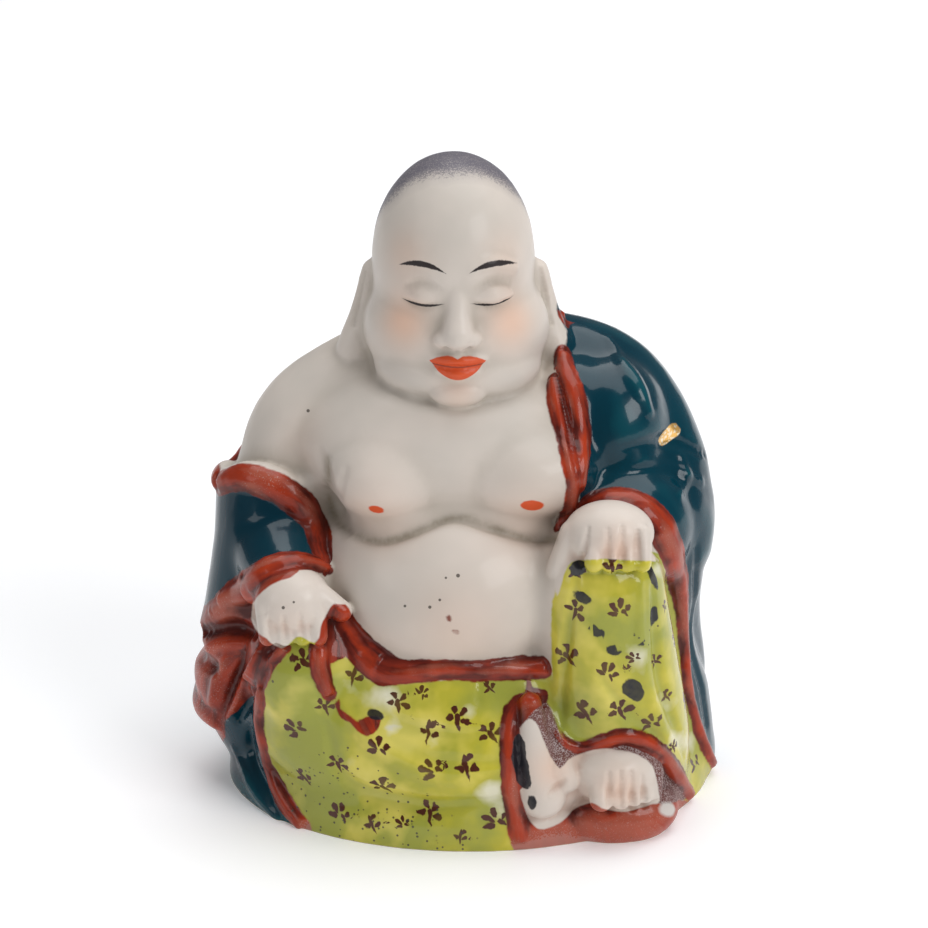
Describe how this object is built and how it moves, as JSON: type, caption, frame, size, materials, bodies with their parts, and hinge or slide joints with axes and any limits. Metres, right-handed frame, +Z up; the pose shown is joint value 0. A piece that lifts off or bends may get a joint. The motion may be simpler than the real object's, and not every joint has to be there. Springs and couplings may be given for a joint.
{
  "type": "seated hotei figure",
  "caption": "Seated round-bellied figure in an open robe, one hand on a raised knee, cast as one piece with a flat underside.",
  "frame": {"origin": "on the flat underside, in the middle between the shoulders' outer sides, under the neck", "axes": "+Z up, the figure faces -Y, its own left side is towards +X"},
  "size_m": [0.0967, 0.0716, 0.1165],
  "materials": {
    "glazed_porcelain": "gloss overglaze enamel on pale porcelain"
  },
  "bodies": {
    "root": {"hotei_figure": "glazed_porcelain"}
  },
  "joints": []
}
